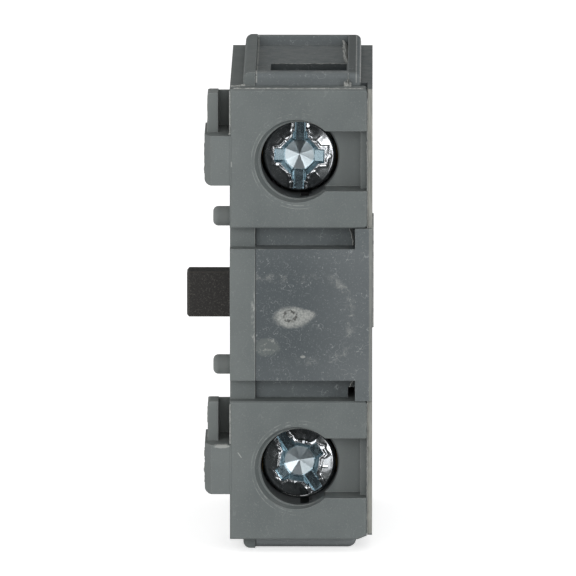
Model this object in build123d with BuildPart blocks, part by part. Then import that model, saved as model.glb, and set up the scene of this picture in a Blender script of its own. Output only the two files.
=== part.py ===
# Auxiliary contact block, one normally open contact, two clamp terminals.
# Frame: X points away from the mounting face, so the plunger reaches towards -X.
# The terminals face -Y and +Z is up. The origin is on the plunger's axis, at the mounting face.
# Millimetres throughout. "Depth" counts back from the front face of the housing.
from build123d import *
import os

os.makedirs("parts", exist_ok=True)

# Housing, outside
body_width = 12.1
body_height = 38.7
body_depth = 28.0
axis_depth = 12.5
parting_x = 2.15
mount_wall = 1.4
cover_wall = 1.46
outer_wall = 1.1
rear_wall = 1.2
corner_radius = 1.0
edge_radius = 0.3

# Middle block of the cover and the two grooves beside it
middle_height = 11.3
middle_wall = 1.4
groove_height = 1.8
groove_depth = 2.3
shell_groove_depth = 1.6
groove_slot_width = 0.6
groove_slot_height = 0.9

# Terminal blocks, which belong to the mounting shell
terminal_reach = 11.65
terminal_front = 4.3
chamber_end = 14.6
chamber_rear_wall = 1.0
chamber_left = 2.65
chamber_width = 7.25
entry_left = 3.38
cover_set_back = 0.35
shell_gap = 0.03

# Screw wells
screw_x = 5.9
screw_pitch = 26.4
well_radius = 3.3
mouth_radius = 3.56
mouth_shift = 0.25
mouth_foot = 3.38
mouth_foot_shift = 0.08
mouth_depth = 0.7
key_width = 0.75
key_height = 0.55
key_shift = 0.45
key_start = 1.5
notch_height = 5.16
notch_end = 11.1
notch_depth = 3.1
lip_depth = 1.7
foot_cut_width = 0.75
foot_cut_height = 0.31

# Raised rim round each wire entry
rim_start = 2.3
rim_end = 25.8
rim_left = 1.12
rim_right_upper = 11.1
rim_right_lower = 10.75
rim_height = 1.15
rim_wall = 1.1
rim_inner_right = 10.0
rim_shoulder = 0.6
rim_round_upper = 0.5
rim_round_lower = 0.8
pocket_floor = 19.65
entry_end = 13.4

# Terminal screw
screw_head_radius = 3.1
screw_head_height = 3.0
screw_head_rim = 1.7
screw_head_depth = 2.6
screw_radius = 1.75
screw_length = 7.0
screw_point = 0.4
slot_width = 0.95
slot_depth = 1.0
cross_length = 4.4
cross_width = 1.25
cross_foot_length = 3.3
cross_foot_width = 0.7
cross_depth = 0.95
bowl_radius = 1.6
bowl_foot = 1.25
bowl_depth = 0.9
cone_tip = 0.1
cone_depth = 2.3
slot_angle_upper = 88.4
slot_angle_lower = 124.0

# Clamp saddle, terminal strip and nut
saddle_size = 6.2
saddle_thickness = 0.95
saddle_lip = 0.3
saddle_lip_width = 0.6
saddle_hole_gap = 0.12
strip_thickness = 0.8
strip_depth = 8.25
strip_groove = 0.4
strip_gap = 0.05
strip_leg_width = 3.0
strip_hole_gap = 0.2
nut_size = 6.2
nut_thickness = 2.0
thread_gap = 0.04
bend_radius = 0.5

# Contact set
plunger_out = 3.8
plunger_height = 3.9
plunger_depth = 2.6
plunger_gap = 0.08
plunger_bevel = 0.18
plunger_travel = 2.5
shoulder_width = 4.8
shoulder_gap = 0.05
window_width = 2.3
window_start = 1.7
spring_room = 2.5
carrier_wall = 0.9
cup_radius = 1.5
carrier_gap = 0.3
bridge_thickness = 0.5
bridge_width = 2.1
bridge_height = 12.0
bridge_gap = 0.05
contact_pitch = 9.6
contact_radius = 1.0
bridge_tip_height = 0.45
fixed_tip_height = 0.4
contact_opening = 1.75
tab_height = 2.6
tab_reach = 1.2
contact_wire = 0.13
contact_coil = 0.85
contact_turns = 2.25
return_wire = 0.15
return_coil = 1.2
return_turns = 3.5
spring_seat_gap = 0.02
wire_sides = 5
stub_radius = 0.85
stub_length = 0.9
guide_wall = 0.8
guide_gap = 0.1
guide_grip = 1.0

# Mounting side
peg_radius = 0.85
peg_length = 1.57
peg_pitch = 12.9
peg_depth = 13.5
peg_rounding = 0.45
hook_reach = 2.15
hook_bottom = 11.1
hook_shoulder = 15.35
hook_top = 18.72
hook_pitch = 26.55
hook_depth = 8.0
hook_bevel = 0.55
hook_radius = 0.45
finger_reach = 1.92
finger_thickness = 0.92
finger_start = 2.3
finger_flat = 5.0
finger_slope = 0.6
finger_round = 0.3
hook_web = 1.5

# Alignment posts between the shells, and the raised pad on the cover
post_radius = 0.8
post_gap = 0.05
post_depth = 20.5
post_pitch = 27.0
post_end = 9.0
socket_wall = 0.7
socket_length = 4.0
pad_thickness = 0.12
pad_height = 9.2
pad_length = 5.9
pad_margin = 0.6

# Places worked out from the sizes above
front = -axis_depth
rear = front + body_depth
half_height = body_height / 2
middle_half = middle_height / 2
terminal_inner = middle_half + groove_height
cover_inner = body_width - cover_wall
chamber_right = chamber_left + chamber_width
screw_z = screw_pitch / 2
wall_inside = half_height - outer_wall
under_head = front + screw_head_depth + screw_head_height
head_top = front + screw_head_depth
chamber_inner = screw_z - well_radius
strip_front = front + strip_depth
strip_back = strip_front + strip_thickness
bridge_left = window_start + spring_room
bridge_right = bridge_left + bridge_thickness
window_end = bridge_right + bridge_gap
fixed_tip_face = bridge_right + bridge_tip_height + contact_opening
tab_left = fixed_tip_face + fixed_tip_height
tab_right = tab_left + strip_thickness
carrier_end = cover_inner - plunger_travel - carrier_gap
cup_bottom = window_end + carrier_wall
guide_length = plunger_travel + carrier_gap + guide_grip
sides = (1, -1)
names = {1: "upper", -1: "lower"}


def at_depth(depth):
    """Plane across the object at this depth, seen from the front."""
    return Plane.XZ.offset(-front - depth)


def span(low, high):
    """Middle and length of a stretch."""
    return (low + high) / 2, high - low


def patch(first_low, first_high, second_low, second_high):
    """Rectangle between two values along each direction of the sketch."""
    first, width = span(first_low, first_high)
    second, height = span(second_low, second_high)
    with Locations((first, second)):
        Rectangle(width, height)


def band(side, near, far):
    """Lowest and highest Z of a stretch that is given as distances from the middle."""
    return (near, far) if side > 0 else (-far, -near)


def outline(points):
    """Closed straight-sided face, its corners given in the sketch's own directions."""
    Polygon(*points, align=None)


# Mounting shell: a shallow tray that carries both terminal blocks, the hooks and the pegs.
with BuildPart() as mounting_shell:
    # The two terminal blocks, with soft front edges
    with BuildSketch(at_depth(0)) as terminal_faces:
        for side in sides:
            patch(0, terminal_reach, *band(side, terminal_inner, half_height))
        fillet(terminal_faces.vertices().group_by(Axis.X)[-1], edge_radius)
    extrude(amount=-terminal_front)
    # Sloping corner at the foot of the lower block
    with BuildSketch(at_depth(0)):
        outline([
            (terminal_reach - foot_cut_width, -half_height),
            (terminal_reach, -half_height + foot_cut_height),
            (terminal_reach + edge_radius, -half_height - edge_radius),
        ])
    extrude(amount=-rim_start, mode=Mode.SUBTRACT)
    chamfer(mounting_shell.faces().group_by(Axis.Y)[0].edges(), edge_radius / 2)
    # The tray that closes the mounting side
    with BuildSketch(Plane.YZ) as tray:
        patch(front + shell_groove_depth, rear, -half_height, half_height)
        fillet(tray.vertices().group_by(Axis.X)[-1], corner_radius)
        patch(front, front + shell_groove_depth, -middle_half, middle_half)
    extrude(amount=parting_x)
    with BuildSketch(Plane.YZ.offset(mount_wall)):
        patch(front + groove_depth + outer_wall, rear - rear_wall, -terminal_inner, terminal_inner)
        patch(front + chamber_end, rear - rear_wall, -wall_inside, wall_inside)
    extrude(amount=parting_x - mount_wall, mode=Mode.SUBTRACT)
    # Walls round each terminal chamber, open towards the wire entry
    with BuildSketch(Plane.YZ.offset(mount_wall)):
        for side in sides:
            chamber_walls = [
                (front + terminal_front, terminal_inner),
                (front + chamber_end + chamber_rear_wall, terminal_inner),
                (front + chamber_end + chamber_rear_wall, wall_inside),
                (front + chamber_end, wall_inside),
                (front + chamber_end, chamber_inner),
                (front + terminal_front, chamber_inner),
            ]
            outline([(y, side * z) for y, z in chamber_walls])
    extrude(amount=cover_inner - mount_wall)
    # Thick side of each chamber, next to the mounting face
    with BuildSketch(Plane.YZ):
        for side in sides:
            patch(front + terminal_front, front + chamber_end, *band(side, chamber_inner, wall_inside))
    extrude(amount=chamber_left)
    # The step under the cover's rim
    with BuildSketch(Plane.YZ.offset(parting_x)):
        for side in sides:
            patch(front + rim_start, front + terminal_front, *band(side, wall_inside, half_height))
    extrude(amount=terminal_reach - parting_x, mode=Mode.SUBTRACT)
    # Left part of each rim, with its round shoulder
    for side in sides:
        with BuildSketch(at_depth(rim_start)) as shoulder:
            patch(rim_left, parting_x, *band(side, half_height, half_height + rim_height))
            outer = shoulder.vertices().sort_by(Axis.X)[:2].sort_by(Axis.Y)
            fillet(outer[-1] if side > 0 else outer[0], rim_shoulder)
        extrude(amount=rim_start - rim_end)
    # Screw wells: round bore, eccentric tapered mouth, key slot
    for side in sides:
        with BuildSketch(at_depth(0)):
            with Locations((screw_x, side * screw_z)):
                Circle(well_radius)
        extrude(amount=-terminal_front, mode=Mode.SUBTRACT)
        with BuildSketch(at_depth(key_start)):
            with Locations((screw_x + key_shift, side * screw_z - well_radius)):
                Rectangle(key_width, 2 * key_height)
        extrude(amount=key_start - terminal_front, mode=Mode.SUBTRACT)
        with BuildSketch(at_depth(0)):
            with Locations((screw_x - mouth_shift, side * screw_z)):
                Circle(mouth_radius)
        with BuildSketch(at_depth(mouth_depth)):
            with Locations((screw_x - mouth_foot_shift, side * screw_z)):
                Circle(mouth_foot)
        loft(mode=Mode.SUBTRACT)
        # Side notch with its lip
        with BuildSketch(at_depth(0)):
            with Locations((span(screw_x, notch_end)[0], side * screw_z)):
                Rectangle(notch_end - screw_x, notch_height)
        extrude(amount=-notch_depth, mode=Mode.SUBTRACT)
        with BuildSketch(at_depth(0)):
            with Locations((span(notch_end, terminal_reach)[0], side * screw_z)):
                Rectangle(terminal_reach - notch_end, notch_height)
        extrude(amount=-lip_depth, mode=Mode.SUBTRACT)
    # Slots that hold the terminal strips
    slot_front = strip_front - strip_gap
    slot_back = strip_back + strip_gap
    with BuildSketch(Plane.YZ.offset(chamber_left - strip_groove)):
        for side in sides:
            patch(slot_front, slot_back, *band(side, chamber_inner, wall_inside))
    extrude(amount=strip_groove, mode=Mode.SUBTRACT)
    with BuildSketch(Plane.YZ.offset(tab_right - strip_leg_width - strip_gap)):
        for side in sides:
            patch(slot_front, slot_back, *band(side, terminal_inner, chamber_inner))
    extrude(amount=terminal_reach, mode=Mode.SUBTRACT)
    # Guide hole of the plunger
    with BuildSketch(Plane.YZ):
        Rectangle(plunger_depth + 2 * plunger_gap, plunger_height + 2 * plunger_gap)
    extrude(amount=parting_x, mode=Mode.SUBTRACT)
    # Locating pegs with rounded ends
    for side in sides:
        with BuildSketch(Plane.YZ):
            with Locations((front + peg_depth, side * peg_pitch / 2)):
                Circle(peg_radius)
        extrude(amount=-peg_length)
    peg_ends = mounting_shell.faces().group_by(Axis.X)[0].edges()
    fillet(peg_ends, peg_rounding)
    # Hooks: a thick foot with a finger that stands up from it, both hooks alike
    for drop in (0, hook_pitch):
        with BuildSketch(at_depth(0)) as foot:
            patch(-hook_reach, 0, hook_bottom - drop, hook_shoulder - drop)
            fillet(foot.vertices().group_by(Axis.X)[0].sort_by(Axis.Y)[0], hook_radius)
        extrude(amount=-hook_depth)
        with BuildSketch(Plane.XY.offset(hook_bottom - drop)):
            outline([(-hook_reach, front), (-hook_reach + hook_bevel, front), (-hook_reach, front + 2 * hook_bevel)])
        extrude(amount=hook_shoulder - hook_bottom, mode=Mode.SUBTRACT)
        with BuildSketch(at_depth(finger_start)) as finger:
            patch(-finger_reach, 0, hook_shoulder - drop, hook_top - drop)
            fillet(finger.vertices().group_by(Axis.X)[0].sort_by(Axis.Y)[-1], finger_round)
        extrude(amount=finger_start - hook_depth)
        with BuildSketch(Plane.YZ.offset(-finger_reach)):
            outline([
                (front + finger_flat, hook_top - drop),
                (front + hook_depth, hook_top - drop),
                (front + hook_depth, hook_top - finger_slope - drop),
            ])
        extrude(amount=finger_reach, mode=Mode.SUBTRACT)
        with BuildSketch(at_depth(finger_start)):
            patch(-finger_reach + finger_thickness, 0, hook_shoulder - drop, hook_top - drop)
        extrude(amount=-(hook_depth - finger_start - hook_web), mode=Mode.SUBTRACT)
    # Alignment posts
    with BuildSketch(Plane.YZ.offset(mount_wall)):
        for side in sides:
            with Locations((front + post_depth, side * post_pitch / 2)):
                Circle(post_radius)
    extrude(amount=post_end - mount_wall)
mounting_shell.part.label = "mounting_shell"

# Cover shell: side plate, middle block, three outer walls and most of each rim.
with BuildPart() as cover_shell:
    with BuildSketch(Plane.YZ.offset(cover_inner)) as side_plate:
        patch(front + cover_set_back, rear, -half_height, half_height)
        fillet(side_plate.vertices().group_by(Axis.X)[-1], corner_radius)
        patch(front, front + cover_set_back, -terminal_inner + shell_gap, terminal_inner - shell_gap)
    extrude(amount=cover_wall)
    # The lower block's sloping corner goes on across the plate
    with BuildSketch(at_depth(0)):
        foot_slope = foot_cut_height / foot_cut_width
        outline([
            (terminal_reach - foot_cut_width, -half_height),
            (body_width, -half_height + foot_slope * (body_width - terminal_reach + foot_cut_width)),
            (body_width, -half_height - edge_radius),
        ])
    extrude(amount=-rim_start, mode=Mode.SUBTRACT)
    # Room for the terminal blocks, which reach into the plate
    with BuildSketch(Plane.YZ.offset(cover_inner)):
        for side in sides:
            patch(front, front + terminal_front + shell_gap, *band(side, terminal_inner - shell_gap, half_height))
    extrude(amount=terminal_reach + shell_gap - cover_inner, mode=Mode.SUBTRACT)
    # Outer walls
    with BuildSketch(Plane.YZ.offset(parting_x)) as outer_walls:
        outline([
            (front + rim_start, half_height),
            (rear, half_height),
            (rear, -half_height),
            (front + rim_start, -half_height),
            (front + rim_start, -wall_inside),
            (rear - rear_wall, -wall_inside),
            (rear - rear_wall, wall_inside),
            (front + rim_start, wall_inside),
        ])
        fillet(outer_walls.vertices().group_by(Axis.X)[-1], corner_radius)
    extrude(amount=cover_inner - parting_x)
    # Middle block and the floors of the grooves
    with BuildSketch(Plane.YZ.offset(parting_x)):
        outline([
            (front, -middle_half),
            (front, middle_half),
            (front + groove_depth, middle_half),
            (front + groove_depth, terminal_inner),
            (front + groove_depth + middle_wall, terminal_inner),
            (front + groove_depth + middle_wall, middle_half - middle_wall),
            (front + middle_wall, middle_half - middle_wall),
            (front + middle_wall, -middle_half + middle_wall),
            (front + groove_depth + middle_wall, -middle_half + middle_wall),
            (front + groove_depth + middle_wall, -terminal_inner),
            (front + groove_depth, -terminal_inner),
            (front + groove_depth, -middle_half),
        ])
    extrude(amount=cover_inner - parting_x)
    # Small slot in the floor of the lower groove
    with BuildSketch(at_depth(groove_depth)):
        patch(
            cover_inner - groove_slot_width,
            cover_inner,
            -terminal_inner,
            groove_slot_height - terminal_inner,
        )
    extrude(amount=-middle_wall, mode=Mode.SUBTRACT)
    # Blocks that close the open side of the terminal chambers
    with BuildSketch(Plane.YZ.offset(chamber_right)):
        for side in sides:
            patch(
                front + terminal_front + shell_gap,
                front + chamber_end - shell_gap,
                *band(side, chamber_inner + shell_gap, wall_inside),
            )
    extrude(amount=cover_inner - chamber_right)
    with BuildSketch(Plane.YZ.offset(chamber_right)):
        for side in sides:
            patch(strip_front - strip_gap, strip_back + strip_gap, *band(side, chamber_inner, wall_inside))
    extrude(amount=strip_groove, mode=Mode.SUBTRACT)
    # Rims and the pockets inside them, then the wire entries
    for side, rim_right, rim_round in (
        (1, rim_right_upper, rim_round_upper),
        (-1, rim_right_lower, rim_round_lower),
    ):
        with BuildSketch(Plane.XY.offset(side * half_height)) as rim:
            patch(parting_x, rim_right, front + rim_start, front + rim_end)
            fillet(rim.vertices().group_by(Axis.X)[-1], edge_radius)
        extrude(amount=side * rim_height)
        rim_edges = cover_shell.edges().filter_by(Axis.Y).group_by(Axis.Z)[-1 if side > 0 else 0]
        fillet(rim_edges.sort_by(Axis.X)[-1], rim_round)
        with BuildSketch(Plane.XY.offset(side * pocket_floor)):
            patch(parting_x, rim_inner_right, front + rim_start + rim_wall, front + rim_end - rim_wall)
        extrude(amount=side * (half_height + rim_height - pocket_floor), mode=Mode.SUBTRACT)
        # The entry widens inwards, so that it ends in a thin lip at the rear
        with BuildSketch(Plane.YZ.offset(entry_left)):
            outline([
                (front + terminal_front, side * wall_inside),
                (front + terminal_front, side * pocket_floor),
                (front + entry_end, side * pocket_floor),
                (front + chamber_end, side * wall_inside),
            ])
        extrude(amount=chamber_right - entry_left, mode=Mode.SUBTRACT)
    # Guide walls and centring stub for the plunger and its spring
    with BuildSketch(Plane.YZ.offset(cover_inner - guide_length)):
        for side in sides:
            guide_inner = plunger_height / 2 + guide_gap
            patch(-shoulder_width / 2, shoulder_width / 2, *band(side, guide_inner, guide_inner + guide_wall))
    extrude(amount=guide_length)
    with BuildSketch(Plane.YZ.offset(cover_inner - stub_length)):
        Circle(stub_radius)
    extrude(amount=stub_length)
    # Sockets for the alignment posts
    with BuildSketch(Plane.YZ.offset(cover_inner - socket_length)):
        for side in sides:
            with Locations((front + post_depth, side * post_pitch / 2)):
                Circle(post_radius + post_gap + socket_wall)
                Circle(post_radius + post_gap, mode=Mode.SUBTRACT)
    extrude(amount=socket_length)
    # Thin raised pad near the rear of the plate
    with BuildSketch(Plane.YZ.offset(body_width)) as pad:
        patch(rear - pad_margin - pad_length, rear - pad_margin, -pad_height / 2, pad_height / 2)
        fillet(pad.vertices(), edge_radius)
    extrude(amount=pad_thickness)
cover_shell.part.label = "cover_shell"

# Plunger: push rod, shoulders that stop it, window for the bridge and cup for the return spring.
with BuildPart() as plunger:
    with BuildSketch(Plane.YZ.offset(-plunger_out)):
        Rectangle(plunger_depth, plunger_height)
    extrude(amount=plunger_out + mount_wall + shoulder_gap)
    chamfer(plunger.faces().sort_by(Axis.X)[0].edges(), plunger_bevel)
    with BuildSketch(Plane.YZ.offset(mount_wall + shoulder_gap)):
        Rectangle(shoulder_width, plunger_height)
    extrude(amount=carrier_end - mount_wall - shoulder_gap)
    with BuildSketch(Plane.XY.offset(-plunger_height / 2)):
        patch(window_start, window_end, -window_width / 2, window_width / 2)
    extrude(amount=plunger_height, mode=Mode.SUBTRACT)
    with BuildSketch(Plane.YZ.offset(carrier_end)):
        Circle(cup_radius)
    extrude(amount=cup_bottom - carrier_end, mode=Mode.SUBTRACT)
plunger.part.label = "plunger"

# Contact bridge: a straight bar with rounded corners, held against the end of the window.
with BuildPart() as contact_bridge:
    with BuildSketch(Plane.YZ.offset(bridge_left)) as bar:
        Rectangle(bridge_width, bridge_height)
        fillet(bar.vertices(), bend_radius)
    extrude(amount=bridge_thickness)
contact_bridge.part.label = "contact_bridge"

# Contact tips riveted to the bridge, and the fixed ones that they meet
bridge_tips = {}
fixed_tips = {}
for side in sides:
    with BuildPart() as bridge_tip:
        with BuildSketch(Plane.YZ.offset(bridge_right)):
            with Locations((0, side * contact_pitch / 2)):
                Circle(contact_radius)
        extrude(amount=bridge_tip_height)
        chamfer(bridge_tip.faces().sort_by(Axis.X)[-1].edges(), bridge_tip_height / 3)
    bridge_tip.part.label = "bridge_tip_" + names[side]
    bridge_tips[side] = bridge_tip
    with BuildPart() as fixed_tip:
        with BuildSketch(Plane.YZ.offset(tab_left)):
            with Locations((0, side * contact_pitch / 2)):
                Circle(contact_radius)
        extrude(amount=-fixed_tip_height)
        chamfer(fixed_tip.faces().sort_by(Axis.X)[0].edges(), fixed_tip_height / 3)
    fixed_tip.part.label = names[side] + "_fixed_tip"
    fixed_tips[side] = fixed_tip

# Terminal strips: clamp plate, leg towards the middle and a tab folded back to carry the tip
strips = {}
for side in sides:
    with BuildPart() as strip:
        with BuildSketch(at_depth(strip_depth)):
            plate_reach = chamber_right + strip_groove - strip_gap
            plate_start = chamber_left - strip_groove + strip_gap
            plate_top = screw_z + saddle_size / 2
            patch(plate_start, plate_reach, *band(side, chamber_inner + strip_gap, plate_top))
            tab_inner = contact_pitch / 2 - tab_height / 2
            patch(tab_right - strip_leg_width, tab_right, *band(side, tab_inner, chamber_inner + strip_gap))
            with Locations((screw_x, side * screw_z)):
                Circle(screw_radius + strip_hole_gap, mode=Mode.SUBTRACT)
        extrude(amount=-strip_thickness)
        with BuildSketch(Plane.YZ.offset(tab_left)):
            patch(strip_front, tab_reach, *band(side, tab_inner, tab_inner + tab_height))
        extrude(amount=strip_thickness)
        fold = strip.edges().filter_by(Axis.Z).filter_by_position(Axis.X, tab_right - 0.01, tab_right + 0.01)
        fold = fold.filter_by_position(Axis.Y, strip_front - 0.01, strip_front + 0.01)
        fillet(fold, bend_radius)
    strip.part.label = names[side] + "_terminal_strip"
    strips[side] = strip

# Square nuts behind the strips
nuts = {}
for side in sides:
    with BuildPart() as nut:
        with BuildSketch(Plane.XZ.offset(-strip_back)) as nut_face:
            with Locations((screw_x, side * screw_z)):
                Rectangle(nut_size, nut_size)
            fillet(nut_face.vertices(), edge_radius)
            with Locations((screw_x, side * screw_z)):
                Circle(screw_radius + thread_gap, mode=Mode.SUBTRACT)
        extrude(amount=-nut_thickness)
    nut.part.label = names[side] + "_clamp_nut"
    nuts[side] = nut

# Clamp saddles: sheet with turned-down edges, captive under the screw head
saddles = {}
for side in sides:
    with BuildPart() as saddle:
        saddle_low = side * screw_z - saddle_size / 2
        with BuildSketch(Plane.XY.offset(saddle_low)):
            half = saddle_size / 2
            lip = half - saddle_lip_width
            bottom = saddle_thickness + saddle_lip
            outline([
                (screw_x + x, under_head + y)
                for x, y in (
                    (-half, saddle_lip),
                    (-lip, 0),
                    (lip, 0),
                    (half, saddle_lip),
                    (half, bottom),
                    (lip, bottom),
                    (lip - saddle_lip, saddle_thickness),
                    (saddle_lip - lip, saddle_thickness),
                    (-lip, bottom),
                    (-half, bottom),
                )
            ])
        extrude(amount=saddle_size)
        with BuildSketch(Plane.XZ.offset(-under_head)):
            with Locations((screw_x, side * screw_z)):
                Circle(screw_radius + saddle_hole_gap)
        extrude(amount=-bottom, mode=Mode.SUBTRACT)
    saddle.part.label = names[side] + "_clamp_saddle"
    saddles[side] = saddle

# Terminal screws: domed head with a slot, a cross recess and a cone at its middle
screws = {}
for side, slot_angle in ((1, slot_angle_upper), (-1, slot_angle_lower)):
    with BuildPart() as screw:
        with BuildSketch(Plane.XY.offset(side * screw_z)):
            with BuildLine():
                crown = (screw_x, head_top)
                rim_top = (screw_x + screw_head_radius, under_head - screw_head_rim)
                tail = under_head + screw_length
                TangentArc(crown, rim_top, tangent=(1, 0))
                Polyline(
                    rim_top,
                    (screw_x + screw_head_radius, under_head),
                    (screw_x + screw_radius, under_head),
                    (screw_x + screw_radius, tail - screw_point),
                    (screw_x + screw_radius - screw_point, tail),
                    (screw_x, tail),
                    crown,
                )
            make_face()
        revolve(axis=Axis((screw_x, 0, side * screw_z), (0, 1, 0)))
        recess = Plane(
            origin=(screw_x, head_top, side * screw_z),
            x_dir=Vector(1, 0, 0).rotate(Axis.Y, -slot_angle),
            z_dir=(0, -1, 0),
        )
        with BuildSketch(recess):
            Rectangle(3 * screw_head_radius, slot_width)
        extrude(amount=-slot_depth, mode=Mode.SUBTRACT)
        with BuildSketch(recess):
            Rectangle(cross_width, cross_length)
        with BuildSketch(recess.offset(-cross_depth)):
            Rectangle(cross_foot_width, cross_foot_length)
        loft(mode=Mode.SUBTRACT)
        with BuildSketch(recess):
            Circle(bowl_radius)
        with BuildSketch(recess.offset(-bowl_depth)):
            Circle(bowl_foot)
        loft(mode=Mode.SUBTRACT)
        with BuildSketch(recess.offset(-bowl_depth)):
            Circle(bowl_foot)
        with BuildSketch(recess.offset(-cone_depth)):
            Circle(cone_tip)
        loft(mode=Mode.SUBTRACT)
    screw.part.label = names[side] + "_terminal_screw"
    screws[side] = screw


def coil(part_name, start, end, coil_radius, wire_radius, turns):
    """Compression spring along X between two seats."""
    height = end - start - 2 * wire_radius
    with BuildPart() as spring:
        with BuildLine() as wire_line:
            Helix(
                pitch=height / turns,
                height=height,
                radius=coil_radius,
                center=(start + wire_radius, 0, 0),
                direction=(1, 0, 0),
            )
        with BuildSketch(Plane(origin=wire_line.line @ 0, z_dir=wire_line.line % 0)):
            RegularPolygon(wire_radius, wire_sides)
        sweep(is_frenet=True)
    spring.part.label = part_name
    return spring


contact_spring = coil(
    "contact_spring",
    window_start + spring_seat_gap,
    bridge_left - spring_seat_gap,
    contact_coil,
    contact_wire,
    contact_turns,
)
return_spring = coil(
    "return_spring",
    cup_bottom + spring_seat_gap,
    cover_inner - spring_seat_gap,
    return_coil,
    return_wire,
    return_turns,
)

pieces = [mounting_shell, cover_shell, plunger, contact_bridge, contact_spring, return_spring]
for group in (bridge_tips, fixed_tips, strips, nuts, saddles, screws):
    pieces.extend(group.values())
for piece in pieces:
    export_step(piece.part, "parts/" + piece.part.label + ".step")
    print(piece.part.label, round(piece.part.volume, 2), "cubic millimetres")
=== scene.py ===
# %% [markdown]
# # An auxiliary contact block
# This small grey block clips to the side of a switch. Its black plunger is pushed in by the switch and
# closes one contact inside. The real one is two nylon mouldings, two zinc-plated clamp screws and a few
# stampings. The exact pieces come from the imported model, so this lesson is about their finish, the
# screws' fine form and the marks of use.

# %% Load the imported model
import math
import random

import bmesh
import bpy
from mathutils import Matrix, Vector, noise


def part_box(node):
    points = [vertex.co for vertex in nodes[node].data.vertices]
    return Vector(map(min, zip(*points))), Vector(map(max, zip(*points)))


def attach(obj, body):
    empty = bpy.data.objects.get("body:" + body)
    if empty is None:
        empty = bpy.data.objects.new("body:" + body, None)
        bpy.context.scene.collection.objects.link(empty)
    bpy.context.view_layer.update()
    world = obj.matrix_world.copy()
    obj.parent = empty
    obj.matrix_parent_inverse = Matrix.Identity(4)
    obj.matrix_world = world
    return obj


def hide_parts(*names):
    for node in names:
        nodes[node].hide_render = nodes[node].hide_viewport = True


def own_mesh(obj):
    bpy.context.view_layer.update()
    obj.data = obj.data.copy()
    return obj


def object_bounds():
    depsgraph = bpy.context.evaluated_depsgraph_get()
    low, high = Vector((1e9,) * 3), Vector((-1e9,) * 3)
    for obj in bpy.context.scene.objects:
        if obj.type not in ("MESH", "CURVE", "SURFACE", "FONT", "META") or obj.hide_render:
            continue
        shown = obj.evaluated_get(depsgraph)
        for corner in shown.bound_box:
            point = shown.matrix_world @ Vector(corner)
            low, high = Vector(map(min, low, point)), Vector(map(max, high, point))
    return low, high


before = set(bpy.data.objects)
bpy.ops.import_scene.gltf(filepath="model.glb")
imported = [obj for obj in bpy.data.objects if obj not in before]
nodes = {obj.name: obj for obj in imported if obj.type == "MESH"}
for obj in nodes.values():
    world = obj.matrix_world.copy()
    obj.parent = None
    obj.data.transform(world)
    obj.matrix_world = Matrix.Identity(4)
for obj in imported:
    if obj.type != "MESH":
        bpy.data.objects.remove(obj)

cad_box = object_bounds()
MM = 0.001
print("nodes in the frame:", len(nodes))

# %% [markdown]
# Every later step places things by the housing, so its main planes are read once from the frame: the
# front face of the terminal blocks, the top of the rim and the parting line between the two shells. The
# top of the blocks, the cover's outside and half the middle block's height are plain sizes.

# %% Read the main places, in millimetres
def corners(node):
    low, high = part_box(node)
    return [value / MM for value in low], [value / MM for value in high]


shell_low, shell_high = corners("mounting_shell")
cover_low, cover_high = corners("cover_shell")
FRONT = shell_low[1]
TOP = 19.35
RIM_TOP = shell_high[2]
COVER_RIGHT = 12.1
PARTING = cover_low[0]
MIDDLE_HALF = 5.65


def placed(name, data):
    thing = bpy.data.objects.new(name, data)
    bpy.context.collection.objects.link(thing)
    return thing


print("front face at", round(FRONT, 2), "rim top at", round(RIM_TOP, 2))

# %% [markdown]
# ## Fields: sums written as nodes
# Moulded plastic is never one flat colour. It has grain, dust, scuffs and stains that sit at known
# places. A place on the surface can be turned into a number with Math nodes, but drawing them one by one
# is slow to read. A small class lets a sum be written as a plain formula instead. Each step still makes
# ordinary shader nodes.

# %% A number that varies over a surface
class Field:
    """One shader value; arithmetic on it makes Math nodes."""

    def __init__(self, tree, socket):
        self.tree = tree
        self.socket = socket

    def step(self, operation, *others):
        node = self.tree.nodes.new("ShaderNodeMath")
        node.operation = operation
        for slot, value in enumerate((self, *others)):
            if isinstance(value, Field):
                self.tree.links.new(value.socket, node.inputs[slot])
            else:
                node.inputs[slot].default_value = value
        return Field(self.tree, node.outputs[0])

    def __add__(self, other):
        return self.step("ADD", other)

    def __sub__(self, other):
        return self.step("SUBTRACT", other)

    def __mul__(self, other):
        return self.step("MULTIPLY", other)

    def size(self):
        return self.step("ABSOLUTE")

    def least(self, other):
        return self.step("MINIMUM", other)

    def most(self, other):
        return self.step("MAXIMUM", other)

    def flipped(self):
        return self.step("MULTIPLY", -1.0).step("ADD", 1.0)

    def rise(self, low, high):
        """0 below low, 1 above high, smooth between."""
        node = self.tree.nodes.new("ShaderNodeMapRange")
        node.interpolation_type = "SMOOTHSTEP"
        self.tree.links.new(self.socket, node.inputs["Value"])
        node.inputs["From Min"].default_value = low
        node.inputs["From Max"].default_value = high
        return Field(self.tree, node.outputs["Result"])

    def fall(self, low, high):
        return self.rise(low, high).flipped()

    def between(self, low, high, soft):
        """1 inside a stretch, 0 outside it."""
        return self.rise(low - soft, low + soft) * self.fall(high - soft, high + soft)


# %% [markdown]
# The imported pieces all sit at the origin, so a piece's object coordinates are real places in the shared
# frame. They are scaled to millimetres here. Marks painted this way stay on the piece when it moves, and
# look the same from every side.

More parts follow.
